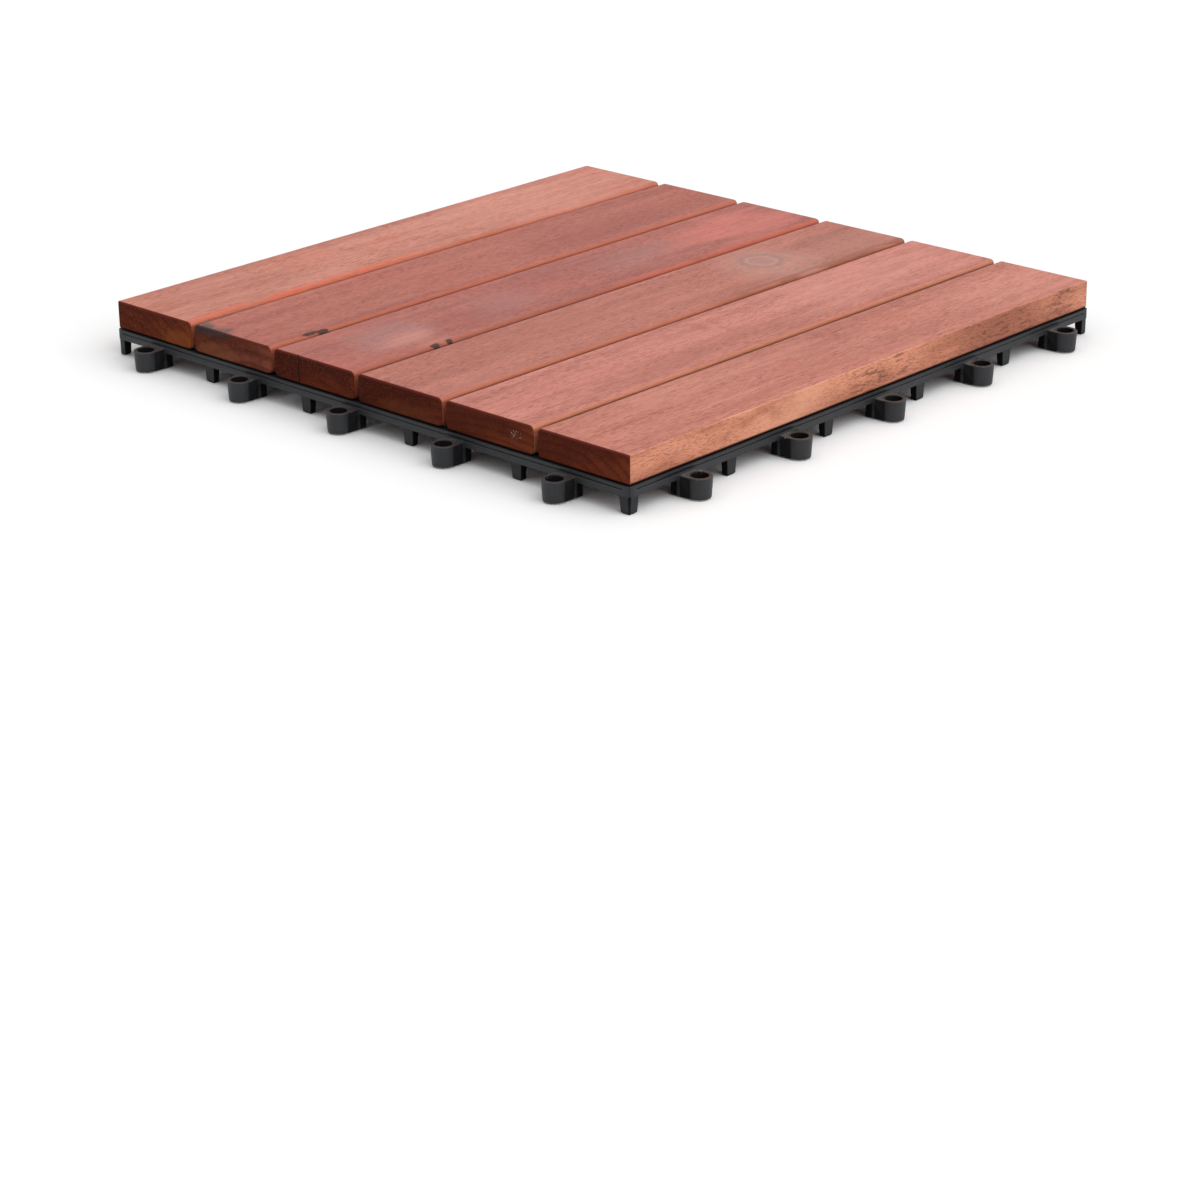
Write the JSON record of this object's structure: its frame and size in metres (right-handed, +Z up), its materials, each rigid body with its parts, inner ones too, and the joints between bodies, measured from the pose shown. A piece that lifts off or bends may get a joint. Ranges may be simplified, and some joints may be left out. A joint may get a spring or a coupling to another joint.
{
  "type": "interlocking deck tile",
  "caption": "Square snap-together deck tile: hardwood slats screwed to a black plastic grid with loops on two sides and pegs on the other two.",
  "frame": {"origin": "middle of the 300 mm module on the floor, on the end of the middle foot", "axes": "+Z up out of the deck; slats run along Y and lie side by side along X; loops reach out on the -Y and +X sides, pegs hang under the +Y and -X sides"},
  "size_m": [0.3114, 0.3114, 0.024],
  "materials": {
    "hardwood": "oiled, satin",
    "plastic": "satin black",
    "screw_metal": "dull"
  },
  "bodies": {
    "root": {"base_grid": "plastic", "slat_1": "hardwood", "slat_2": "hardwood", "slat_3": "hardwood", "slat_4": "hardwood", "slat_5": "hardwood", "slat_6": "hardwood", "screws": "screw_metal"}
  },
  "joints": []
}
